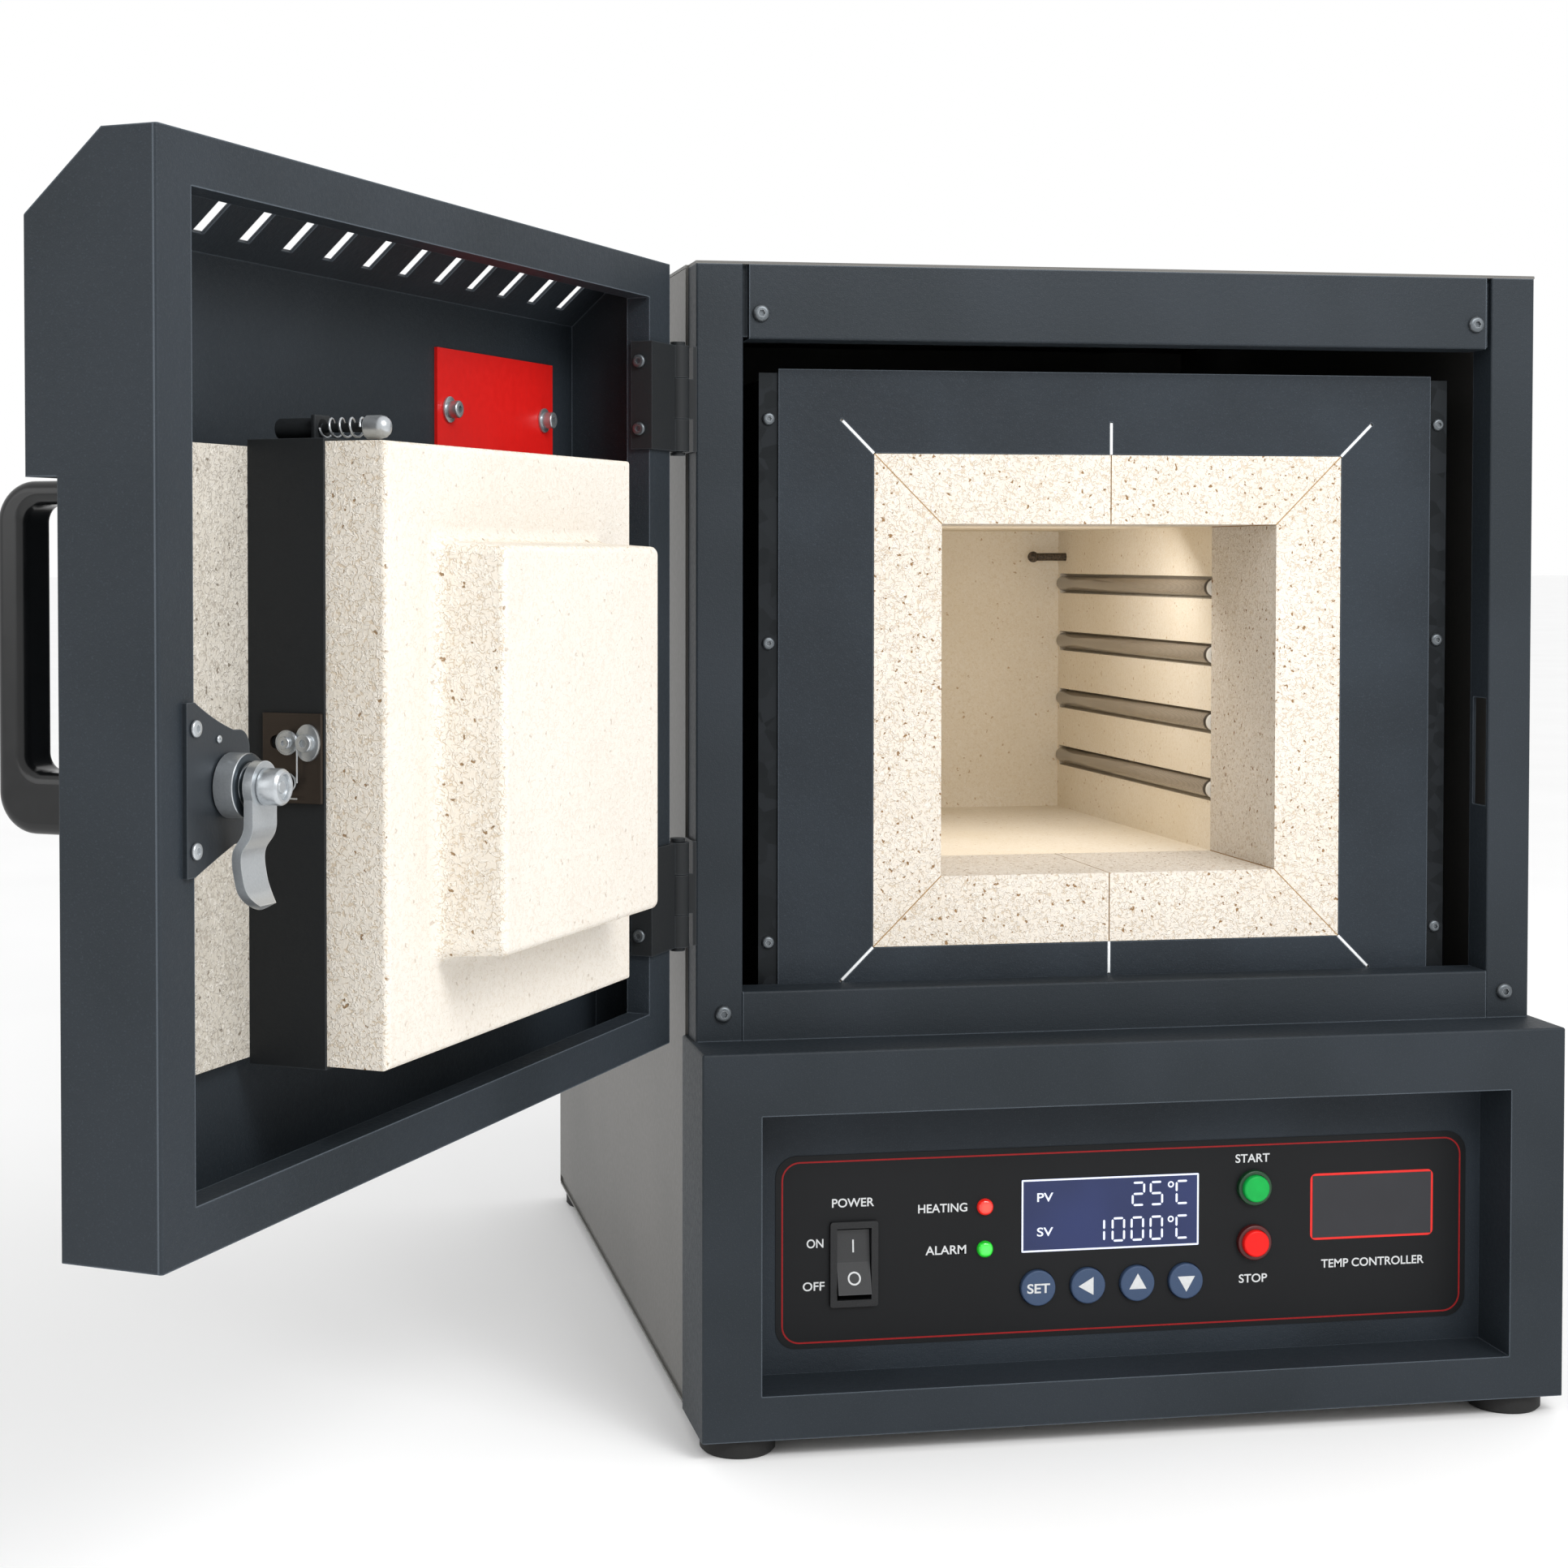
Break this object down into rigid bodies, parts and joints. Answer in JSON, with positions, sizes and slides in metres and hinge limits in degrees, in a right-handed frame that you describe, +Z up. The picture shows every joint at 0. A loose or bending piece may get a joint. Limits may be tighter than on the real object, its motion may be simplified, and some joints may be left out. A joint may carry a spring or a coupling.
{
  "type": "muffle furnace",
  "caption": "Bench muffle furnace with a box chamber lined in ceramic fibre, wall heating rods, a control panel below and a side-hung door with a ceramic plug",
  "frame": {"origin": "the middle of the front left foot's underside, on the bench", "axes": "+X to the right along the front, +Y from the front into the furnace, +Z up"},
  "size_m": [0.766, 0.9247, 0.595],
  "materials": {
    "frame_paint": "fine textured powder coat",
    "cover_paint": "smooth powder coat",
    "plate_paint": "satin",
    "shell_steel": "satin",
    "black_steel": "satin black",
    "red_paint": "satin",
    "bright_steel": "satin",
    "dark_steel": "blackened",
    "brown_steel": "heat tinted",
    "ceramic_fibre": "rough fibre board",
    "ceramic_cast": "rough cast",
    "insulation_board": "rough grey board",
    "white_ceramic": "glazed tube",
    "panel_film": "printed film",
    "black_plastic": "moulded",
    "handle_plastic": "moulded",
    "blue_display": "lit display",
    "black_window": "smoked window",
    "red_lens": "translucent",
    "green_lens": "translucent",
    "blue_key": "soft key",
    "green_button": "moulded",
    "red_button": "moulded",
    "foot_rubber": "matt",
    "terminal_plastic": "moulded"
  },
  "bodies": {
    "furnace": {"foot_pads": "foot_rubber", "base_plate": "cover_paint", "control_bezel": "frame_paint", "control_panel": "plate_paint", "panel_overlay": "panel_film", "rocker_bezel": "black_plastic", "heating_lamp": "red_lens", "alarm_lamp": "green_lens", "display_window": "blue_display", "button_rings": "black_plastic", "controller_case": "black_window", "solid_state_relay": "black_steel", "terminal_block": "terminal_plastic", "deck_plate": "shell_steel", "left_side_cover": "cover_paint", "right_side_cover": "cover_paint", "top_cover": "cover_paint", "rear_cover": "cover_paint", "cable_gland": "black_plastic", "left_post": "frame_paint", "right_post": "frame_paint", "top_rail": "frame_paint", "bottom_rail": "frame_paint", "case_screws": "dark_steel", "muffle_casing": "shell_steel", "face_plate": "plate_paint", "collar_top": "ceramic_fibre", "collar_bottom": "ceramic_fibre", "collar_left": "ceramic_fibre", "collar_right": "ceramic_fibre", "insulation": "insulation_board", "chamber_left_wall": "ceramic_fibre", "chamber_right_wall": "ceramic_fibre", "chamber_roof": "ceramic_fibre", "hearth_plate": "ceramic_fibre", "chamber_back": "ceramic_fibre", "heating_rods": "white_ceramic", "thermocouple": "white_ceramic", "hinge_body_leaves": "black_steel"},
    "door": {"door_skin": "frame_paint", "door_rim": "frame_paint", "door_board": "insulation_board", "door_tray": "black_steel", "door_block": "ceramic_cast", "red_plate": "red_paint", "door_handle": "handle_plastic", "hinge_door_leaves": "black_steel", "door_screws": "dark_steel", "latch_bracket": "dark_steel", "link_plate": "brown_steel", "tray_stud": "bright_steel"},
    "latch": {"latch_spindle": "bright_steel", "latch_lever": "bright_steel"},
    "rocker": {"rocker_paddle": "black_plastic"},
    "start": {"start_button": "green_button"},
    "stop": {"stop_button": "red_button"},
    "set_key": {"key_set": "blue_key"},
    "shift_key": {"key_shift": "blue_key"},
    "up_key": {"key_up": "blue_key"},
    "down_key": {"key_down": "blue_key"}
  },
  "joints": [
    {"name": "door_swing", "type": "hinge", "parent": "furnace", "child": "door", "pos_m": [-0.029, 0.009, 0.378], "axis": [0, 0, 1], "range_deg": [-58, 122]},
    {"name": "latch_turn", "type": "hinge", "parent": "door", "child": "latch", "pos_m": [-0.25061, -0.35131, 0.367], "axis": [-0.848, 0.5299, 0], "range_deg": [0, 45]},
    {"name": "power_rocker", "type": "hinge", "parent": "furnace", "child": "rocker", "pos_m": [0.0626, 0.0152, 0.087], "axis": [1, 0, 0], "range_deg": [0, 20]},
    {"name": "start_press", "type": "slide", "parent": "furnace", "child": "start", "axis": [0, 1, 0], "range_m": [0, 0.0025], "stiffness_N_per_m": 400, "springref_m": -0.001},
    {"name": "stop_press", "type": "slide", "parent": "furnace", "child": "stop", "axis": [0, 1, 0], "range_m": [0, 0.0025], "stiffness_N_per_m": 400, "springref_m": -0.001},
    {"name": "set_key_press", "type": "slide", "parent": "furnace", "child": "set_key", "axis": [0, 1, 0], "range_m": [0, 0.0012], "stiffness_N_per_m": 500, "springref_m": -0.0006},
    {"name": "shift_key_press", "type": "slide", "parent": "furnace", "child": "shift_key", "axis": [0, 1, 0], "range_m": [0, 0.0012], "stiffness_N_per_m": 500, "springref_m": -0.0006},
    {"name": "up_key_press", "type": "slide", "parent": "furnace", "child": "up_key", "axis": [0, 1, 0], "range_m": [0, 0.0012], "stiffness_N_per_m": 500, "springref_m": -0.0006},
    {"name": "down_key_press", "type": "slide", "parent": "furnace", "child": "down_key", "axis": [0, 1, 0], "range_m": [0, 0.0012], "stiffness_N_per_m": 500, "springref_m": -0.0006}
  ]
}
